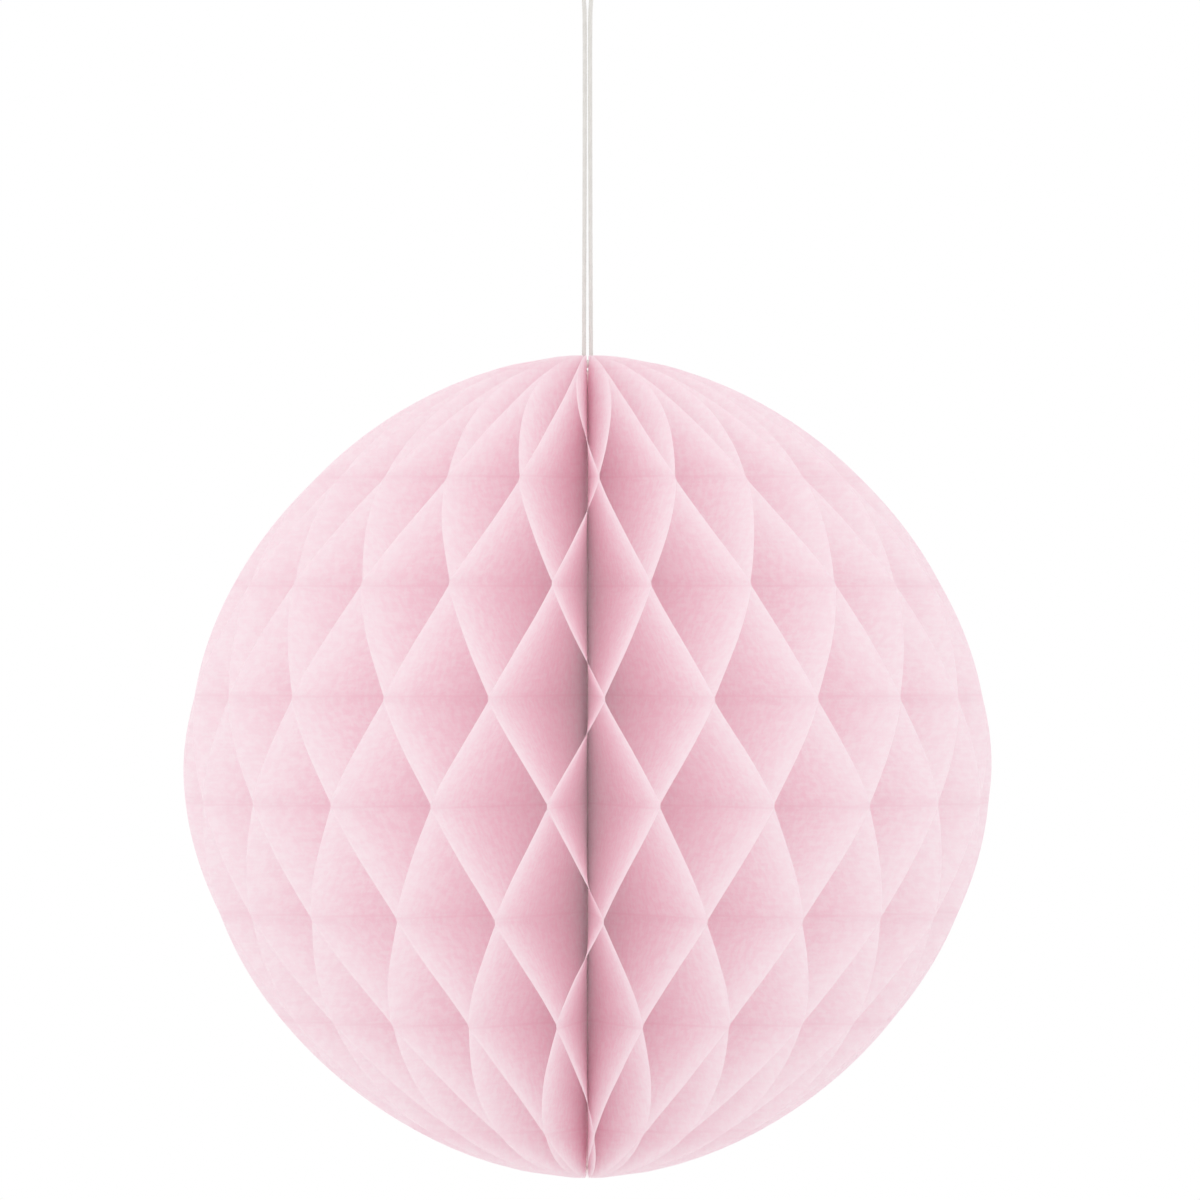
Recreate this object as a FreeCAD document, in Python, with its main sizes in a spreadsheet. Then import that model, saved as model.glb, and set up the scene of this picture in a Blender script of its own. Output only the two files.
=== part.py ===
import FreeCAD, Part
import Sketcher
import math
import os

# A tissue-paper honeycomb ball that hangs on a doubled cord.
# Millimetres, +Z up. The origin is where the cord's loop bears on whatever holds it, so the ball hangs below.
# The two cover cards meet back to back in the plane X = 0 behind the axis (+Y). The leaves run round the axis
# from the first card to the last, anticlockwise seen from above, and are glued to each other along level rows.
# Neighbouring leaves meet on alternate rows, which makes the cells.

SIZES = {
    "ball_diameter": 200.0,
    "ball_height": 203.7,
    "profile_power": 1.86,
    "cord_drop": 92.0,
    "leaf_count": 44,
    "leaf_sheet": 0.05,
    "glue_film": 0.01,
    "row_count": 8,
    "row_step": 26.83,
    "row_highest": 98.3,
    "row_strips": 3,
    "spine_hole_radius": 0.75,
    "pole_hole_radius": 3.0,
    "pole_hole_level": 98.3,
    "pole_taper_level": 95.0,
    "pole_middle_level": 100.6,
    "pole_end_level": 101.7,
    "card_radius": 94.0,
    "card_sheet": 0.4,
    "card_inner_edge": 7.0,
    "card_corner_radius": 3.0,
    "pad_sheet": 0.15,
    "pad_width": 10.0,
    "pad_length": 18.0,
    "pad_middle_reach": 84.0,
    "pad_end_reach": 30.0,
    "pad_end_level": 76.0,
    "lift_start": 4.0,
    "lift_full": 6.5,
    "thread_radius": 0.6,
    "thread_knot_radius": 1.5,
    "knot_depth": 2.2,
    "cord_knot_radius": 1.7,
    "joint_gap": 0.05,
    "cord_diameter": 1.0,
    "hook_radius": 0.5,
    "cord_spread": 0.87,
    "cord_neck_spread": 0.53,
    "cord_neck_drop": 10.0,
    "cord_eye_drop": 3.0,
}

Y_AXIS = FreeCAD.Vector(0, 1, 0)
Z_AXIS = FreeCAD.Vector(0, 0, 1)

doc = FreeCAD.newDocument("HoneycombBall")
sheet = doc.addObject("Spreadsheet::Sheet", "Sizes")
for row, (name, value) in enumerate(SIZES.items(), start=1):
    sheet.set(f"A{row}", name)
    sheet.set(f"B{row}", str(value))
    sheet.setAlias(f"B{row}", name)
doc.recompute()

parts = []


def size(name):
    return float(getattr(sheet, name))


def bind(target, **cells):
    """Bind each named property of an object to an expression on the sheet."""
    for prop, expression in cells.items():
        target.setExpression(prop.replace("__", "."), expression)


def keep(target, name):
    """Make an object a sub-part: its label names its file."""
    target.Label = name
    parts.append(target)
    return target


def centre_level():
    """The ball's middle below the point where the cord's loop bears."""
    return -(size("cord_drop") + size("ball_height") / 2)


# ---- leaves ----


def outline_reach(level):
    """How far a leaf reaches from the axis at a level above or below the ball's middle."""
    power = size("profile_power")
    share = abs(level) / (size("ball_height") / 2)
    return size("ball_diameter") / 2 * (1 - share**power) ** (1 / power)


def hole_reach(level):
    """Where a leaf's inner edge stands: close to the thread, and further out at the poles, round the knots."""
    wide = size("pole_hole_level")
    narrow = size("pole_taper_level")
    share = min(max((abs(level) - narrow) / (wide - narrow), 0), 1)
    return size("spine_hole_radius") + share * (size("pole_hole_radius") - size("spine_hole_radius"))


def leaf_levels():
    """The levels, from the top down, at which a leaf's sheet is creased or its outline turns."""
    step = size("row_step")
    strips = int(size("row_strips"))
    lowest = size("row_highest") - step * (size("row_count") - 1)
    levels = [size("pole_end_level"), size("pole_middle_level")]
    for strip in range(strips * (int(size("row_count")) - 1) + 1):
        levels.append(size("row_highest") - step * strip / strips)
    levels.append(size("pole_taper_level"))
    for name in ("pole_taper_level", "pole_hole_level", "pole_middle_level", "pole_end_level"):
        levels.append(-size(name))
    levels.append((lowest - size("pole_taper_level")) / 2)
    return sorted(set(levels), reverse=True)


def swing(level):
    """Which side of its middle plane a leaf leans to, from 1 on even rows to -1 on odd rows."""
    rows_down = (size("row_highest") - level) / size("row_step")
    row = math.floor(rows_down)
    lean = 1 - 2 * (rows_down - row)
    return lean if row % 2 == 0 else -lean


def leaf_point(level, reach, side, lift):
    """A point of a leaf's middle surface. x runs along the leaf, y across it and z up from the ball's middle.

    side is 1 for a leaf that leans forwards on even rows and -1 for one that leans backwards. lift keeps the
    first and the last leaf off the cover card that they are glued to.
    """
    half_step = math.pi / size("leaf_count")
    clear = (size("leaf_sheet") / 2 + size("glue_film")) / math.cos(half_step)
    lean = swing(level)
    ramp = (reach - size("lift_start")) / (size("lift_full") - size("lift_start"))
    raised = lift * min(max(ramp, 0), 1) * (1 - lean) / 2
    across = side * (lean * (reach * math.tan(half_step) - clear) + raised)
    return FreeCAD.Vector(reach, across, level)


def leaf_grid(side, lift):
    """The middle surface as rows of points, one row a level, from the inner edge out."""
    grid = []
    for level in leaf_levels():
        inner = hole_reach(level)
        outer = outline_reach(level)
        reaches = [inner, outer]
        if lift:
            creases = [min(max(size(name), inner), outer) for name in ("lift_start", "lift_full")]
            reaches = [inner, *creases, outer]
        grid.append([leaf_point(level, reach, side, lift) for reach in reaches])
    return grid


def flat_face(points):
    """A flat face through the points, or None where neighbouring points fall together."""
    corners = []
    for point in points:
        if not corners or (point - corners[-1]).Length > 1e-6:
            corners.append(point)
    if (corners[0] - corners[-1]).Length < 1e-6:
        corners.pop()
    if len(corners) < 3:
        return None
    return Part.Face(Part.makePolygon([*corners, corners[0]]))


def leaf_solid(side, lift):
    """A leaf: its creased middle surface, half a sheet thick to either side."""
    grid = leaf_grid(side, lift)
    half = Y_AXIS * (size("leaf_sheet") / 2)
    faces = []
    for upper, lower in zip(grid, grid[1:]):
        for a, b, c, d in zip(upper, upper[1:], lower[1:], lower):
            for corners in ((a, b, d), (b, c, d)):
                faces.append(flat_face([p + half for p in corners]))
                faces.append(flat_face([p - half for p in reversed(corners)]))
    inner = [row[0] for row in grid]
    outer = [row[-1] for row in grid]
    rim = [*grid[0], *outer[1:], *reversed(grid[-1][:-1]), *reversed(inner[:-1])]
    for a, b in zip(rim, rim[1:]):
        faces.append(flat_face([a - half, b - half, b + half, a + half]))
    shell = Part.Shell([face for face in faces if face])
    shell.sewShape()
    solid = Part.Solid(shell)
    return solid if solid.Volume > 0 else solid.reversed()


def make_leaves():
    count = int(size("leaf_count"))
    step = 360.0 / count
    lift = (size("pad_sheet") / 2 + size("card_sheet")) / math.cos(math.radians(step / 2))
    plain = {side: leaf_solid(side, 0) for side in (1, -1)}
    for number in range(1, count + 1):
        side = 1 if number % 2 else -1
        on_card = number in (1, count)
        leaf = doc.addObject("Part::Feature", f"Leaf{number:02d}")
        leaf.Shape = leaf_solid(side, lift) if on_card else plain[side]
        turn = FreeCAD.Rotation(Z_AXIS, 90 + (number - 0.5) * step)
        leaf.Placement = FreeCAD.Placement(FreeCAD.Vector(0, 0, centre_level()), turn)
        keep(leaf, f"leaf_{number:02d}")


# ---- cover cards ----


def make_card(name, offset):
    """A half-round card with its straight edge beside the axis. offset places its lower X face."""
    body = doc.addObject("PartDesign::Body", name.title().replace("_", ""))
    plane = next(p for p in body.Origin.OriginFeatures if p.Role == "YZ_Plane")
    sketch = body.newObject("Sketcher::SketchObject", f"{body.Name}Outline")
    sketch.AttachmentSupport = [(plane, "")]
    sketch.MapMode = "FlatFace"
    radius = size("card_radius")
    edge = size("card_inner_edge")
    half_turn = math.acos(edge / radius)
    circle = Part.Circle(FreeCAD.Vector(0, 0, 0), Z_AXIS, radius)
    sketch.addGeometry(Part.ArcOfCircle(circle, -half_turn, half_turn), False)
    top = FreeCAD.Vector(edge, radius * math.sin(half_turn), 0)
    bottom = FreeCAD.Vector(edge, -radius * math.sin(half_turn), 0)
    sketch.addGeometry(Part.LineSegment(top, bottom), False)
    sketch.addConstraint(Sketcher.Constraint("Coincident", 0, 3, -1, 1))
    sketch.addConstraint(Sketcher.Constraint("Coincident", 0, 2, 1, 1))
    sketch.addConstraint(Sketcher.Constraint("Coincident", 0, 1, 1, 2))
    sketch.addConstraint(Sketcher.Constraint("Vertical", 1))
    by_radius = sketch.addConstraint(Sketcher.Constraint("Radius", 0, radius))
    by_edge = sketch.addConstraint(Sketcher.Constraint("DistanceX", -1, 1, 1, 1, edge))
    sketch.setExpression(f"Constraints[{by_radius}]", "Sizes.card_radius")
    sketch.setExpression(f"Constraints[{by_edge}]", "Sizes.card_inner_edge")
    pad = body.newObject("PartDesign::Pad", f"{body.Name}Sheet")
    pad.Profile = sketch
    bind(pad, Length="Sizes.card_sheet")
    doc.recompute()
    corners = [
        f"Edge{number}"
        for number, line in enumerate(pad.Shape.Edges, start=1)
        if abs(line.tangentAt(line.FirstParameter).x) > 0.99
    ]
    rounded = body.newObject("PartDesign::Fillet", f"{body.Name}Corners")
    rounded.Base = (pad, corners)
    bind(rounded, Radius="Sizes.card_corner_radius")
    bind(
        body,
        Placement__Base__x=offset,
        Placement__Base__z="-(Sizes.cord_drop + Sizes.ball_height / 2)",
    )
    keep(body, name)


def make_cards():
    make_card("first_cover_card", "-(Sizes.pad_sheet / 2 + Sizes.card_sheet)")
    make_card("last_cover_card", "Sizes.pad_sheet / 2")


# ---- adhesive pads between the cards ----


def make_pad(name, reach, level, across, along):
    """A flat sticky pad on the first card. reach and level place its middle from the ball's middle."""
    pad = doc.addObject("Part::Box", name.title().replace("_", ""))
    bind(
        pad,
        Length="Sizes.pad_sheet",
        Width=across,
        Height=along,
        Placement__Base__x="-Sizes.pad_sheet / 2",
        Placement__Base__y=f"{reach} - {across} / 2",
        Placement__Base__z=f"{level} - {along} / 2 - (Sizes.cord_drop + Sizes.ball_height / 2)",
    )
    keep(pad, name)


def make_pads():
    wide = "Sizes.pad_width"
    long = "Sizes.pad_length"
    make_pad("adhesive_pad_top", "Sizes.pad_end_reach", "Sizes.pad_end_level", long, wide)
    make_pad("adhesive_pad_middle", "Sizes.pad_middle_reach", "0", wide, long)
    make_pad("adhesive_pad_bottom", "Sizes.pad_end_reach", "-Sizes.pad_end_level", long, wide)


# ---- spine thread, knot and cord ----


def make_spine_thread():
    """The thread along the axis that binds the leaves, with the knot in its lower end."""
    rod = doc.addObject("Part::Cylinder", "ThreadRod")
    end = doc.addObject("Part::Sphere", "ThreadEndKnot")
    lowest = "-(Sizes.cord_drop + Sizes.ball_height - Sizes.knot_depth)"
    highest = "-(Sizes.cord_drop + Sizes.knot_depth + Sizes.cord_knot_radius + Sizes.joint_gap)"
    bind(rod, Radius="Sizes.thread_radius", Height=f"{highest} - {lowest}", Placement__Base__z=lowest)
    bind(end, Radius="Sizes.thread_knot_radius", Placement__Base__z=lowest)
    whole = doc.addObject("Part::Fuse", "SpineThread")
    whole.Base = rod
    whole.Tool = end
    keep(whole, "spine_thread")


def make_cord_knot():
    knot = doc.addObject("Part::Sphere", "CordKnot")
    bind(
        knot,
        Radius="Sizes.cord_knot_radius",
        Placement__Base__z="-(Sizes.cord_drop + Sizes.knot_depth)",
    )
    keep(knot, "cord_knot")


def cord_route():
    """The doubled cord, from the knot up one strand, over the hook and down the other strand."""
    lower = -(size("cord_drop") + size("knot_depth")) + size("cord_knot_radius") + size("joint_gap")
    eye = size("hook_radius") + size("cord_diameter") / 2
    strand = [
        (-size("cord_spread"), lower),
        (-size("cord_neck_spread"), -size("cord_neck_drop")),
        (-eye, -size("cord_eye_drop")),
        (-eye, size("cord_diameter") / 2),
    ]
    both = strand + [(-x, z) for x, z in reversed(strand)]
    return [FreeCAD.Vector(x, 0, z) for x, z in both]


def turn_radius(before, corner, after):
    """The radius at a point of the route: the hook's own at the loop's two corners, else a long gentle one."""
    come = corner - before
    go = after - corner
    half_turn = come.getAngle(go) / 2
    if half_turn > math.radians(40):
        return size("hook_radius") + size("cord_diameter") / 2
    return 0.45 * min(come.Length, go.Length) / math.tan(half_turn)


def cord_path(route):
    """Straight runs joined by tangent arcs."""
    edges = []
    start = route[0]
    for before, corner, after in zip(route, route[1:], route[2:]):
        come = (corner - before).normalize()
        go = (after - corner).normalize()
        half_turn = come.getAngle(go) / 2
        radius = turn_radius(before, corner, after)
        print(f"cord turns {math.degrees(2 * half_turn):.1f} degrees at radius {radius:.2f} mm")
        reach = radius * math.tan(half_turn)
        enter = corner - come * reach
        leave = corner + go * reach
        inward = (go - come).normalize()
        middle = corner + inward * (radius / math.cos(half_turn) - radius)
        if (enter - start).Length > 1e-6:
            edges.append(Part.LineSegment(start, enter).toShape())
        edges.append(Part.Arc(enter, middle, leave).toShape())
        start = leave
    edges.append(Part.LineSegment(start, route[-1]).toShape())
    return Part.Wire(edges)


def make_hanging_cord():
    route = cord_route()
    path = cord_path(route)
    radius = size("cord_diameter") / 2
    section = Part.Wire(Part.Circle(route[0], route[1] - route[0], radius).toShape())
    tube = path.makePipeShell([section], True, False)
    wanted = math.pi * radius**2 * path.Length
    print(f"cord length {path.Length:.2f} mm, volume {tube.Volume:.3f}, section times length {wanted:.3f}")
    if abs(tube.Volume - wanted) > 0.01 * wanted:
        raise ValueError("the cord's volume is not its section times its length")
    cord = doc.addObject("Part::Feature", "HangingCord")
    cord.Shape = tube
    cord.Placement = FreeCAD.Placement()
    keep(cord, "hanging_cord")


# ---- build, check and write ----


def check():
    for item in doc.Objects:
        if "Invalid" in item.State or "Error" in item.State:
            raise ValueError(f"{item.Label} failed: {item.State}")
    for item in parts:
        shape = item.Shape
        if shape.isNull() or not shape.isValid() or len(shape.Solids) != 1:
            raise ValueError(f"{item.Label} is not one valid solid")


make_leaves()
make_cards()
make_pads()
make_spine_thread()
make_cord_knot()
make_hanging_cord()
doc.recompute()
check()
os.makedirs("parts", exist_ok=True)
for item in parts:
    item.Shape.exportStep(f"parts/{item.Label}.step")
print(f"{len(parts)} parts written")
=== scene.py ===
"""The looks of a paper honeycomb ball on its hanging cord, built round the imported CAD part.

Everything is in metres, in the row's frame: the origin is where the cord's loop bears on its
hook, +Z is up, and the ball's seam is at the back, on +Y. The photograph looks along +Y.
The ball is 44 leaves of tissue paper round a spine. Neighbours are glued in rows of narrow
strips, so each leaf swings from one neighbour to the other and back, and leaves make cells.
"""

import math
import random

import bpy
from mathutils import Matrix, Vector, noise


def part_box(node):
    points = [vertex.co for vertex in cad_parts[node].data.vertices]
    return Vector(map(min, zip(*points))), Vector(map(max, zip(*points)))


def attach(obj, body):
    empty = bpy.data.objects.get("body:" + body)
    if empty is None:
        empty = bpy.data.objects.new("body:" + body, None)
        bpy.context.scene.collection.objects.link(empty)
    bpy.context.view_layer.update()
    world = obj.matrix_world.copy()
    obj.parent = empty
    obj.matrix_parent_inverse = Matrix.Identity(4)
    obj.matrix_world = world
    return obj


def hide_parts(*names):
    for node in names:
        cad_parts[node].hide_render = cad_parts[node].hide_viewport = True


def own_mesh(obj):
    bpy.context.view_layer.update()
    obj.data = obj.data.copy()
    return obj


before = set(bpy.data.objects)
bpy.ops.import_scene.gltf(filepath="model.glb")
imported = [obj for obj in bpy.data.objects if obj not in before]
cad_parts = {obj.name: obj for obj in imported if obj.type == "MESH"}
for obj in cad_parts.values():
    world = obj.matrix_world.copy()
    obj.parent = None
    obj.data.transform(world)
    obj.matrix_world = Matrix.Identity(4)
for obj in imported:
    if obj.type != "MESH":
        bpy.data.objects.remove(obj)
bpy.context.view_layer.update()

MM = 0.001

# The ball, as the CAD has it
LEAVES = sorted(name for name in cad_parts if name.startswith("leaf_"))
LEAF_STEP = 2 * math.pi / len(LEAVES)
SEAM_ANGLE = math.pi / 2
LEAF_LOW, LEAF_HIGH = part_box(LEAVES[0])
BALL_MIDDLE = (LEAF_LOW.z + LEAF_HIGH.z) / 2
POLE_END = (LEAF_HIGH.z - LEAF_LOW.z) / 2
BALL_RADIUS = 100 * MM
HALF_HEIGHT = 101.85 * MM
PROFILE_POWER = 1.86
SPINE_HOLE = 0.75 * MM
POLE_HOLE = 1.8 * MM
POLE_MOUTH = 2.9 * MM
POLE_TAPER_LEVEL = 95 * MM
POLE_HOLE_LEVEL = 98.3 * MM

# The glue rows, numbered from the top
ROW_COUNT = 8
ROW_STEP = 26.83 * MM
ROW_HIGHEST = 98.3 * MM
ROW_STAGGER = 0.6 * MM
GLUE_HALF = 0.55 * MM
LEAF_GAP = 0.03 * MM

# How uneven the paper is
PAPER_SEED = 44
JUNCTION_SPREAD = math.radians(0.35)
ROW_ANGLE_SPREAD = math.radians(0.12)
ROW_LEVEL_SPREAD = 0.25 * MM
SLOPE_SOFTNESS = 0.08
WAVE_HEIGHT = 0.28 * MM
WAVE_LENGTH = 17 * MM
WAVE_START = 12 * MM
WAVE_FULL = 45 * MM
WAVE_LEAF_STEP = 7.3

# The fineness of a leaf's mesh
SPAN_STEPS = 13
REACH_STEPS = 22
LEAST_END_STEP = 0.2 * MM

# The two cover cards at the seam, which the first and last leaf lie on
LIFT = 0.475 * MM
LIFT_START = 4 * MM
LIFT_FULL = 6.5 * MM

# The hanging cord: the points that part.py gives it, from one side of the knot to the other
CORD_DIAMETER = 1.0 * MM
CORD_ROUTE = [
    (-0.87 * MM, 0, -92.45 * MM),
    (-0.53 * MM, 0, -10 * MM),
    (-1.0 * MM, 0, -3 * MM),
    (-1.0 * MM, 0, 0.5 * MM),
    (1.0 * MM, 0, 0.5 * MM),
    (1.0 * MM, 0, -3 * MM),
    (0.53 * MM, 0, -10 * MM),
    (0.87 * MM, 0, -92.45 * MM),
]
CORD_STEP = 0.28 * MM

# How the cord and the thread are twisted. The hollows between plies make a cord look thin, so
# the hanging cord's plies reach a little past its diameter.
PLY_SIDES = 6
CORD_PLIES = 5
CORD_PITCH = 4.0 * MM
CORD_FULLNESS = 1.12
THREAD_RADIUS = 0.6 * MM
THREAD_PLIES = 3
THREAD_PITCH = 4.4 * MM
THREAD_STEPS = 380

# The two knots: the radius of their strand, how far it rises and dips, and the steps round them
KNOT_SIDES = 10
CORD_KNOT = {"strand": 0.48 * MM, "height": 0.62 * MM, "steps": 90}
THREAD_KNOT = {"strand": 0.42 * MM, "height": 0.55 * MM, "steps": 80}

# The photograph's view: the ball's axis stands a little left of the middle, and low
CAMERA_DISTANCE = 3.5
CAMERA_AZIMUTH = math.radians(-2.3)
FRAME_WIDTH = 297 * MM
AIM_RIGHT = 3.1 * MM
AIM_UP = 41.2 * MM
SENSOR_WIDTH = 36
CLIP_END = 60

# The lights, with bounces enough for what goes to and fro between leaves to fill the cells
LIGHT_BOUNCES = 48
LAMP_POWER = 2
FRONT_LAMP_PLACE = (-0.5, -2.6, 0.35)
FRONT_LAMP_SIZE = 1.6
SIDE_LAMP_PLACE = (-2.2, -1.2, 0.6)
SIDE_LAMP_SIZE = 1.4

# The stage's floor, far under the hanging ball
FLOOR_RADIUS = 3.0
FLOOR_LEVEL = -2.5
FLOOR_SIDES = 96
FLOOR_RINGS = 6


# ---------------------------------------------------------------- small helpers


def ramp(value, start, end):
    """0 before start, 1 after end, and straight between them."""
    return min(1.0, max(0.0, (value - start) / (end - start)))


def smooth(share):
    return share * share * (3 - 2 * share)


def between(a, b, share):
    return a + (b - a) * share


def mesh_piece(name, points, faces, material):
    """A smooth-shaded mesh object from its points and faces."""
    mesh = bpy.data.meshes.new(name)
    mesh.from_pydata(points, [], faces)
    mesh.polygons.foreach_set("use_smooth", [True] * len(faces))
    mesh.materials.append(material)
    piece = bpy.data.objects.new(name, mesh)
    bpy.context.scene.collection.objects.link(piece)
    return piece


def tube(path, radius, sides, closed=False):
    """Points and faces of a round tube along a path. An open one has flat ends."""
    points, faces = [], []
    count = len(path)
    across = None
    for place, here in enumerate(path):
        after = path[(place + 1) % count] if closed else path[min(place + 1, count - 1)]
        before = path[place - 1] if closed else path[max(place - 1, 0)]
        along = (after - before).normalized()
        if across is None:
            across = along.orthogonal()
        across = (across - along * across.dot(along)).normalized()
        other = along.cross(across)
        for side in range(sides):
            turn = 2 * math.pi * side / sides
            points.append(here + radius * (math.cos(turn) * across + math.sin(turn) * other))
    for ring in range(count if closed else count - 1):
        first, second = ring * sides, (ring + 1) % count * sides
        for side in range(sides):
            after = (side + 1) % sides
            faces.append((first + side, first + after, second + after, second + side))
    if not closed:
        faces.append(tuple(range(sides - 1, -1, -1)))
        faces.append(tuple(range((count - 1) * sides, count * sides)))
    return points, faces


def join_shapes(shapes):
    """One list of points and one of faces from several (points, faces)."""
    points, faces = [], []
    for more_points, more_faces in shapes:
        start = len(points)
        points += more_points
        faces += [tuple(start + corner for corner in face) for face in more_faces]
    return points, faces


def twisted_plies(path, radius, plies, pitch, sides):
    """A cord of that radius from plies that lie round each other along the path."""
    ply_radius = radius / (1 + 1 / math.sin(math.pi / plies))
    lay_radius = radius - ply_radius
    ply_paths = [[] for _ in range(plies)]
    across = None
    gone = 0.0
    for place, here in enumerate(path):
        before = path[max(place - 1, 0)]
        along = (path[min(place + 1, len(path) - 1)] - before).normalized()
        gone += (here - before).length
        if across is None:
            across = along.orthogonal()
        across = (across - along * across.dot(along)).normalized()
        other = along.cross(across)
        for ply, ply_path in enumerate(ply_paths):
            turn = 2 * math.pi * (gone / pitch + ply / plies)
            ply_path.append(here + lay_radius * (math.cos(turn) * across + math.sin(turn) * other))
    return join_shapes([tube(ply_path, ply_radius, sides) for ply_path in ply_paths])


# ---------------------------------------------------------------- materials


class Surface:
    """A node material under construction: short ways to add nodes and to join them."""

    def __init__(self, name):
        self.material = bpy.data.materials.new(name)
        self.material.use_nodes = True
        self.tree = self.material.node_tree
        self.shader = self.tree.nodes["Principled BSDF"]
        self.output = self.tree.nodes["Material Output"]

    def add(self, kind, inputs=None, **settings):
        """A new node. An input is given another node's output, or a value."""
        node = self.tree.nodes.new("ShaderNode" + kind)
        for setting, value in settings.items():
            setattr(node, setting, value)
        for socket, value in (inputs or {}).items():
            self.put(node, socket, value)
        return node

    def put(self, node, socket, value):
        if isinstance(value, bpy.types.NodeSocket):
            self.tree.links.new(value, node.inputs[socket])
        else:
            node.inputs[socket].default_value = value

    def math(self, operation, first, second=0.0):
        return self.add("Math", {0: first, 1: second}, operation=operation).outputs[0]

    def scaled(self, vector, scale):
        return self.add("Mapping", {"Vector": vector, "Scale": scale}).outputs["Vector"]

    def noise(self, vector, scale, detail=3.0, offset=0.0):
        """Cloudy values from 0 to 1. The scale is in patches per metre."""
        made = self.add(
            "TexNoise",
            {"Vector": vector, "W": offset, "Scale": scale, "Detail": detail},
            noise_dimensions="4D",
        )
        return made.outputs["Fac"]

    def stretch(self, value, low, high, to_low=0.0, to_high=1.0):
        """A value from low to high, brought to another range and held inside it."""
        made = self.add(
            "MapRange",
            {"Value": value, "From Min": low, "From Max": high, "To Min": to_low, "To Max": to_high},
        )
        return made.outputs["Result"]

    def mixed(self, *parts):
        """The sum of values, each given as (share, value)."""
        shares = [self.math("MULTIPLY", value, share) for share, value in parts]
        total = shares[0]
        for more in shares[1:]:
            total = self.math("ADD", total, more)
        return total

    def blend(self, share, first, second):
        """A colour between two colours. A Mix node's colour sockets are known by their places."""
        made = self.add("Mix", {0: share, 6: first, 7: second}, data_type="RGBA")
        return made.outputs[2]

    def bump(self, height, strength, distance):
        made = self.add("Bump", {"Height": height, "Strength": strength, "Distance": distance})
        return made.outputs["Normal"]

    def shade(self, **inputs):
        """Sets the main shader's inputs, by their names with _ for a space."""
        for name, value in inputs.items():
            self.put(self.shader, name.replace("_", " "), value)


# The sheet of texture that a leaf lies on
UV_REACH = 105 * MM
UV_HEIGHT = 210 * MM

# A leaf's colours as the camera sees them. The rim colour is painted light: paler paper near each
# leaf's rim
TISSUE_PALE = (0.995, 0.885, 0.92, 1)
TISSUE_FULL = (0.975, 0.79, 0.85, 1)
TISSUE_RIM_LIGHT = (0.985, 0.91, 0.94, 1)
TISSUE_GLUED = (0.96, 0.76, 0.82, 1)

# The colours that light takes up between leaves, near the rim and deep inside. They are paler
# than the seen ones, to fit the photograph's bright cells. Real paper has no such difference.
TISSUE_BETWEEN = (0.989, 0.942, 0.957, 1)
TISSUE_INNER = (1.0, 0.99, 0.992, 1)

TISSUE_TRANSLUCENCY = 0.5
# How deep the painted rim light reaches from each leaf's rim, and how strong it is there
RIM_LIGHT_DEPTH = 4 * MM
RIM_LIGHT_END = 17 * MM
RIM_LIGHT_SHARE = 0.4
INNER_START = 34 * MM
INNER_FULL = 80 * MM
STRIP_CORE = 0.12 * MM
STRIP_EDGE = 0.4 * MM
STRIP_SHARE = 0.5
LEAF_NOISE_STEP = 37

BOARD_PALE = (0.86, 0.81, 0.76, 1)
BOARD_FULL = (0.80, 0.75, 0.69, 1)
BOARD_SPECK = (0.55, 0.47, 0.40, 1)
PAD_CLEAR = (0.80, 0.78, 0.70, 1)
PAD_MILKY = (0.92, 0.91, 0.87, 1)
CORD_PALE = (0.83, 0.815, 0.78, 1)
CORD_FULL = (0.75, 0.735, 0.70, 1)
THREAD_PALE = (0.93, 0.89, 0.86, 1)
THREAD_FULL = (0.87, 0.82, 0.79, 1)
FLOOR_PALE = (0.90, 0.90, 0.90, 1)
FLOOR_FULL = (0.87, 0.87, 0.87, 1)


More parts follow.
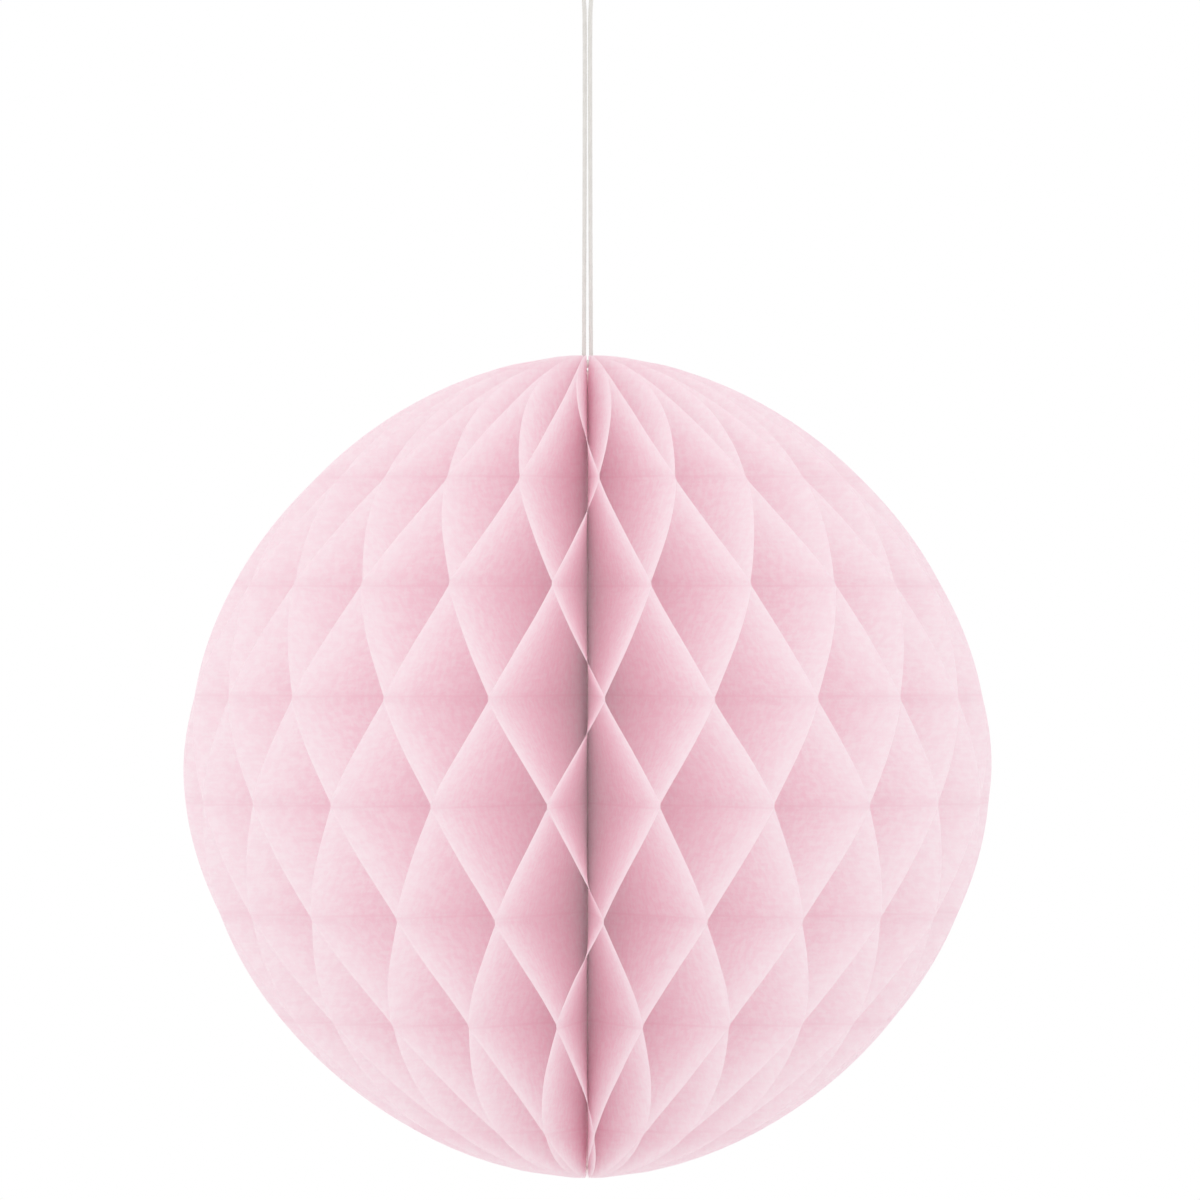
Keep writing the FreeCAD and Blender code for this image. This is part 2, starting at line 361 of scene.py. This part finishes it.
def tissue_material():
    """Thin pink tissue paper: cloudy fibres, a faint level grain, strips of dry glue and a painted
    paler rim of light.
    """
    surface = Surface("tissue_paper")
    sheet_place = surface.add("UVMap", uv_map="sheet").outputs["UV"]
    place = surface.scaled(sheet_place, (UV_REACH, UV_HEIGHT, 1))
    leaf = surface.math("MULTIPLY", surface.add("ObjectInfo").outputs["Random"], LEAF_NOISE_STEP)
    clouds = surface.noise(place, 520, detail=5, offset=leaf)
    fibres = surface.noise(place, 1700, detail=3, offset=leaf)
    grain = surface.noise(surface.scaled(place, (0.14, 1, 1)), 1500, detail=2, offset=leaf)
    mottle = surface.mixed((0.5, clouds), (0.25, fibres), (0.25, grain))
    colour = surface.blend(surface.stretch(mottle, 0.42, 0.58), TISSUE_PALE, TISSUE_FULL)

    apart = surface.add("SeparateXYZ", {"Vector": place})
    below_row = surface.math("SUBTRACT", ROW_HIGHEST + UV_HEIGHT / 2, apart.outputs["Y"])
    off_row = surface.math("PINGPONG", below_row, ROW_STEP / 2)
    strip = surface.stretch(off_row, STRIP_CORE, STRIP_EDGE, STRIP_SHARE, 0.0)
    colour = surface.blend(strip, colour, TISSUE_GLUED)
    depth = surface.add("Attribute", attribute_name="depth").outputs["Fac"]
    # Painted light: the paper is made paler near its rim, as if more light reached it there
    painted_rim_light = surface.stretch(depth, RIM_LIGHT_DEPTH, RIM_LIGHT_END, RIM_LIGHT_SHARE, 0.0)
    colour = surface.blend(painted_rim_light, colour, TISSUE_RIM_LIGHT)

    inner = surface.stretch(depth, INNER_START, INNER_FULL)
    between_leaves = surface.blend(inner, TISSUE_BETWEEN, TISSUE_INNER)
    seen = surface.add("LightPath").outputs["Is Camera Ray"]
    colour = surface.blend(seen, between_leaves, colour)

    relief = surface.bump(mottle, 0.35, 0.12 * MM)
    surface.shade(Base_Color=colour, Roughness=0.9, Specular_IOR_Level=0.12, Normal=relief)
    through = surface.add("BsdfTranslucent", {"Color": colour, "Normal": relief})
    both = surface.add("MixShader", {0: TISSUE_TRANSLUCENCY})
    surface.tree.links.new(surface.shader.outputs[0], both.inputs[1])
    surface.tree.links.new(through.outputs[0], both.inputs[2])
    surface.tree.links.new(both.outputs[0], surface.output.inputs["Surface"])
    return surface.material


def card_material():
    """Uncoated off-white board: pressed fibres, fine specks and a little cloudiness."""
    surface = Surface("cover_board")
    place = surface.add("TexCoord").outputs["Object"]
    clouds = surface.noise(place, 90, detail=4)
    fibres = surface.noise(surface.scaled(place, (1, 1, 0.3)), 2400, detail=4)
    specks = surface.noise(place, 900, detail=1, offset=3.0)
    colour = surface.blend(surface.stretch(clouds, 0.35, 0.65), BOARD_PALE, BOARD_FULL)
    colour = surface.blend(surface.stretch(specks, 0.70, 0.78, 0, 0.5), colour, BOARD_SPECK)
    roughness = surface.stretch(fibres, 0.3, 0.7, 0.72, 0.9)
    surface.shade(
        Base_Color=colour,
        Roughness=roughness,
        Specular_IOR_Level=0.3,
        Normal=surface.bump(fibres, 0.4, 0.1 * MM),
    )
    return surface.material


def adhesive_material():
    """Thin double-sided sticking pad: milky and satin, with trapped air that lightens it."""
    surface = Surface("sticking_pad")
    place = surface.add("TexCoord").outputs["Object"]
    bubbles = surface.noise(place, 700, detail=2)
    drag = surface.noise(surface.scaled(place, (1, 1, 0.2)), 1500, detail=2)
    colour = surface.blend(surface.stretch(bubbles, 0.45, 0.7), PAD_CLEAR, PAD_MILKY)
    surface.shade(
        Base_Color=colour,
        Roughness=surface.stretch(drag, 0.3, 0.7, 0.22, 0.42),
        Normal=surface.bump(bubbles, 0.3, 0.08 * MM),
    )
    return surface.material


def yarn_material(name, pale, full):
    """Spun yarn: fine fibres that run with the yarn, uneven in colour, with a soft sheen."""
    surface = Surface(name)
    place = surface.add("TexCoord").outputs["Object"]
    fibres = surface.noise(surface.scaled(place, (1, 1, 0.22)), 7000, detail=3)
    clouds = surface.noise(place, 500, detail=2, offset=5.0)
    mottle = surface.mixed((0.6, fibres), (0.4, clouds))
    surface.shade(
        Base_Color=surface.blend(surface.stretch(mottle, 0.38, 0.62), pale, full),
        Roughness=surface.stretch(fibres, 0.3, 0.7, 0.6, 0.8),
        Specular_IOR_Level=0.35,
        Sheen_Weight=0.25,
        Sheen_Roughness=0.5,
        Normal=surface.bump(fibres, 0.5, 0.06 * MM),
    )
    return surface.material


def floor_material():
    """Pale matt studio floor, very slightly uneven."""
    surface = Surface("studio_floor")
    place = surface.add("TexCoord").outputs["Object"]
    clouds = surface.noise(place, 3, detail=3)
    colour = surface.blend(surface.stretch(clouds, 0.3, 0.7), FLOOR_PALE, FLOOR_FULL)
    surface.shade(Base_Color=colour, Roughness=0.85, Specular_IOR_Level=0.2)
    return surface.material


# ---------------------------------------------------------------- camera, world and lights


def make_camera():
    """A far camera with a long lens, level, as near to a straight-on view as the photograph."""
    data = bpy.data.cameras.new("photo_camera")
    data.sensor_width = SENSOR_WIDTH
    data.lens = SENSOR_WIDTH * CAMERA_DISTANCE / FRAME_WIDTH
    data.clip_end = CLIP_END
    camera = bpy.data.objects.new("photo_camera", data)
    bpy.context.scene.collection.objects.link(camera)
    right = Vector((math.cos(CAMERA_AZIMUTH), math.sin(CAMERA_AZIMUTH), 0))
    back = Vector((math.sin(CAMERA_AZIMUTH), -math.cos(CAMERA_AZIMUTH), 0))
    aim = Vector((0, 0, BALL_MIDDLE + AIM_UP)) + right * AIM_RIGHT
    camera.location = aim + back * CAMERA_DISTANCE
    camera.rotation_euler = (math.pi / 2, 0, CAMERA_AZIMUTH)
    bpy.context.scene.camera = camera


def make_world():
    """White light from all round. It goes to and fro many times between the pale leaves."""
    world = bpy.data.worlds.new("white_room")
    world.use_nodes = True
    background = world.node_tree.nodes["Background"]
    background.inputs["Color"].default_value = (1, 1, 1, 1)
    background.inputs["Strength"].default_value = 1.0
    bpy.context.scene.world = world
    bpy.context.scene.view_settings.view_transform = "Standard"
    for bounces in ("max_bounces", "diffuse_bounces", "transmission_bounces"):
        setattr(bpy.context.scene.cycles, bounces, LIGHT_BOUNCES)


def make_soft_light(name, place, size, power):
    """A large square lamp that faces the ball."""
    data = bpy.data.lights.new(name, "AREA")
    data.shape = "SQUARE"
    data.size = size
    data.energy = power
    lamp = bpy.data.objects.new(name, data)
    bpy.context.scene.collection.objects.link(lamp)
    lamp.location = place
    towards_ball = Vector((0, 0, BALL_MIDDLE)) - Vector(place)
    lamp.rotation_euler = towards_ball.to_track_quat("-Z", "Y").to_euler()


def make_floor():
    """A round pale floor far under the hanging ball, out of the photograph's view."""
    points = [Vector((0, 0, FLOOR_LEVEL))]
    faces = []
    for ring in range(1, FLOOR_RINGS + 1):
        reach = FLOOR_RADIUS * ring / FLOOR_RINGS
        for side in range(FLOOR_SIDES):
            turn = 2 * math.pi * side / FLOOR_SIDES
            points.append(Vector((reach * math.cos(turn), reach * math.sin(turn), FLOOR_LEVEL)))
    for side in range(FLOOR_SIDES):
        faces.append((0, 1 + side, 1 + (side + 1) % FLOOR_SIDES))
    for ring in range(FLOOR_RINGS - 1):
        inner, outer = 1 + ring * FLOOR_SIDES, 1 + (ring + 1) * FLOOR_SIDES
        for side in range(FLOOR_SIDES):
            after = (side + 1) % FLOOR_SIDES
            faces.append((inner + side, outer + side, outer + after, inner + after))
    mesh_piece("studio_floor", points, faces, floor_material())


# ---------------------------------------------------------------- cord, knot and thread


def route_points(name, route, step):
    """Points along one smooth NURBS line that has the route's points as its control points."""
    curve = bpy.data.curves.new(name, "CURVE")
    curve.dimensions = "3D"
    curve.resolution_u = 200
    spline = curve.splines.new("NURBS")
    spline.points.add(len(route) - 1)
    for point, place in zip(spline.points, route):
        point.co = (*place, 1)
    spline.order_u = 3
    spline.use_endpoint_u = True
    holder = bpy.data.objects.new(name, curve)
    line = bpy.data.meshes.new_from_object(holder)
    fine = [vertex.co.copy() for vertex in line.vertices]
    bpy.data.meshes.remove(line)
    bpy.data.objects.remove(holder)
    bpy.data.curves.remove(curve)
    kept = [fine[0]]
    for point in fine[1:-1]:
        if (point - kept[-1]).length >= step:
            kept.append(point)
    return kept + [fine[-1]]


def tied_knot(middle, radius, strand, height, steps):
    """A trefoil, the shape of a pulled-up overhand knot. Its strand keeps inside the radius."""
    reach = radius - strand
    path = []
    for step in range(steps):
        turn = 2 * math.pi * step / steps
        x = (math.sin(turn) + 2 * math.sin(2 * turn)) / 3
        y = (math.cos(turn) - 2 * math.cos(2 * turn)) / 3
        path.append(middle + Vector((reach * x, reach * y, -height * math.sin(3 * turn))))
    return tube(path, strand, KNOT_SIDES, closed=True)


def make_hanging_cord(material):
    """The doubled cord: twisted plies, up from the knot, over the hook and down again."""
    knot_low, knot_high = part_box("cord_knot")
    knot_middle = (knot_low + knot_high) / 2
    knot_radius = (knot_high.x - knot_low.x) / 2
    points, faces = tied_knot(knot_middle, knot_radius, **CORD_KNOT)
    knot = mesh_piece("cord_knot_tied", points, faces, material)
    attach(knot, "knot")
    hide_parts("cord_knot")

    path = route_points("cord_route", CORD_ROUTE, CORD_STEP)
    full_radius = CORD_FULLNESS * CORD_DIAMETER / 2
    points, faces = twisted_plies(path, full_radius, CORD_PLIES, CORD_PITCH, PLY_SIDES)
    cord = mesh_piece("hanging_cord_twisted", points, faces, material)
    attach(cord, "hanging_loop")
    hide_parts("hanging_cord")


def make_spine_thread(material):
    """The sewing thread up the spine, in twisted plies, with its knot under the ball."""
    low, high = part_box("spine_thread")
    knot_radius = (high.x - low.x) / 2
    knot_middle = Vector((0, 0, low.z + knot_radius))
    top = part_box("cord_knot")[0].z
    length = top - knot_middle.z
    path = [Vector((0, 0, top - length * step / THREAD_STEPS)) for step in range(THREAD_STEPS + 1)]
    stem = twisted_plies(path, THREAD_RADIUS, THREAD_PLIES, THREAD_PITCH, PLY_SIDES)
    tied = tied_knot(knot_middle, knot_radius, **THREAD_KNOT)
    points, faces = join_shapes([stem, tied])
    thread = mesh_piece("spine_thread_twisted", points, faces, material)
    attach(thread, "first_card")
    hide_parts("spine_thread")


# ---------------------------------------------------------------- paper leaves


def outline_reach(level):
    """How far a leaf reaches from the axis at a level above the ball's middle."""
    share = min(1.0, abs(level) / HALF_HEIGHT)
    return BALL_RADIUS * (1 - share**PROFILE_POWER) ** (1 / PROFILE_POWER)


def hole_reach(level):
    """Where a leaf begins: close to the thread, and further out at the poles, for the knots.

    The mouth at the very pole leaves room for the cord when the ball swings on it.
    """
    height = abs(level)
    if height < POLE_HOLE_LEVEL:
        return between(SPINE_HOLE, POLE_HOLE, ramp(height, POLE_TAPER_LEVEL, POLE_HOLE_LEVEL))
    return between(POLE_HOLE, POLE_MOUTH, ramp(height, POLE_HOLE_LEVEL, POLE_END))


def junction_places():
    """(angle, level) of each glued place, by junction and row, a little uneven.

    Junction n is between leaf n and leaf n + 1, so 0 and the last are at the seam. Row -1 and
    row ROW_COUNT are past the poles, and only give the sheet its direction there.
    """
    chance = random.Random(PAPER_SEED)
    places = {}
    for junction in range(len(LEAVES) + 1):
        at_seam = junction in (0, len(LEAVES))
        shift = 0 if at_seam else chance.uniform(-JUNCTION_SPREAD, JUNCTION_SPREAD)
        for row in range(-1, ROW_COUNT + 1):
            own_shift = 0 if at_seam else chance.uniform(-ROW_ANGLE_SPREAD, ROW_ANGLE_SPREAD)
            stagger = ROW_STAGGER if row % 2 == 0 else -ROW_STAGGER
            level = ROW_HIGHEST - row * ROW_STEP + stagger
            level += chance.uniform(-ROW_LEVEL_SPREAD, ROW_LEVEL_SPREAD)
            places[junction, row] = (SEAM_ANGLE + junction * LEAF_STEP + shift + own_shift, level)
    return places


def leaf_rows(leaf, places):
    """(level, angle, lean) of one leaf at each row. Lean is 1 towards the next leaf, or -1."""
    rows = []
    for row in range(-1, ROW_COUNT + 1):
        lean = 1 if (leaf + row) % 2 else -1
        angle, level = places[leaf if lean > 0 else leaf - 1, row]
        rows.append((level, angle, lean))
    return rows


def leaf_levels(rows):
    """The levels of a leaf's points: both edges of each glue strip, and steps between them."""
    levels = []
    for (above, _, _), (below, _, _) in zip(rows, rows[1:]):
        levels.append(above)
        for step in range(SPAN_STEPS + 1):
            levels.append(between(above - GLUE_HALF, below + GLUE_HALF, step / SPAN_STEPS))
    inside = [level for level in levels if abs(level) < POLE_END - LEAST_END_STEP]
    return sorted(inside + [POLE_END, -POLE_END], reverse=True)


def sheet_direction(level, rows):
    """Angle and lean of a leaf at a level, and how far it is from being held by glue, 0 to 1."""
    for above, below in zip(rows, rows[1:]):
        if level >= below[0]:
            break
    free = ramp(level, above[0] - GLUE_HALF, below[0] + GLUE_HALF)
    slope = between(free, smooth(free), SLOPE_SOFTNESS)
    return (
        between(above[1], below[1], slope),
        between(above[2], below[2], slope),
        math.sin(math.pi * free) ** 2,
    )


def lift_off_card(leaf, lean, reach):
    """How far the first and the last leaf stand off the seam, where a cover card lies."""
    lifted = LIFT * ramp(reach, LIFT_START, LIFT_FULL)
    if leaf == 1:
        return lifted * (1 - lean) / 2
    if leaf == len(LEAVES):
        return -lifted * (1 + lean) / 2
    return 0.0


def paper_wave(leaf, level, reach, freedom):
    """How far the paper waves out of its plain slope."""
    spot = Vector((reach / WAVE_LENGTH, level / WAVE_LENGTH, leaf * WAVE_LEAF_STEP))
    grown = ramp(reach, WAVE_START, WAVE_FULL)
    return WAVE_HEIGHT * freedom * grown * noise.noise(spot)


def leaf_mesh(leaf, rows):
    """A leaf's points, faces, texture places and depths from the rim, by levels and reaches."""
    points, faces, places, depths = [], [], [], []
    levels = leaf_levels(rows)
    for level in levels:
        angle, lean, freedom = sheet_direction(level, rows)
        inner, outer = hole_reach(level), outline_reach(level)
        for step in range(REACH_STEPS + 1):
            reach = between(inner, outer, step / REACH_STEPS)
            aside = -LEAF_GAP * lean + lift_off_card(leaf, lean, reach)
            aside += paper_wave(leaf, level, reach, freedom)
            turned = angle + aside / reach
            points.append((reach * math.cos(turned), reach * math.sin(turned), BALL_MIDDLE + level))
            places.append((reach / UV_REACH, level / UV_HEIGHT + 0.5))
            depths.append(outer - reach)
    across = REACH_STEPS + 1
    for row in range(len(levels) - 1):
        for step in range(REACH_STEPS):
            corner = row * across + step
            faces.append((corner, corner + across, corner + across + 1, corner + 1))
    return points, faces, places, depths


def make_leaf(leaf, node, places, material):
    """One leaf of tissue, which fans with its body."""
    points, faces, texture_places, depths = leaf_mesh(leaf, leaf_rows(leaf, places))
    sheet = mesh_piece("tissue_" + node, points, faces, material)
    layer = sheet.data.uv_layers.new(name="sheet")
    for loop in sheet.data.loops:
        layer.data[loop.index].uv = texture_places[loop.vertex_index]
    sheet.data.attributes.new("depth", "FLOAT", "POINT").data.foreach_set("value", depths)
    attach(sheet, node + "_body")
    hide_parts(node)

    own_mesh(sheet)


# ---------------------------------------------------------------- the scene


make_camera()
make_world()
make_hanging_cord(yarn_material("cotton_cord", CORD_PALE, CORD_FULL))
make_spine_thread(yarn_material("cotton_thread", THREAD_PALE, THREAD_FULL))

tissue = tissue_material()
glued_places = junction_places()
for number, leaf_node in enumerate(LEAVES, start=1):
    make_leaf(number, leaf_node, glued_places, tissue)

board = card_material()
sticky = adhesive_material()
for node_name, cad_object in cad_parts.items():
    if node_name.endswith("cover_card"):
        cad_object.material_slots[0].material = board
    if node_name.startswith("adhesive_pad"):
        cad_object.material_slots[0].material = sticky

make_floor()
make_soft_light("front_light", FRONT_LAMP_PLACE, FRONT_LAMP_SIZE, LAMP_POWER)
make_soft_light("side_light", SIDE_LAMP_PLACE, SIDE_LAMP_SIZE, LAMP_POWER)
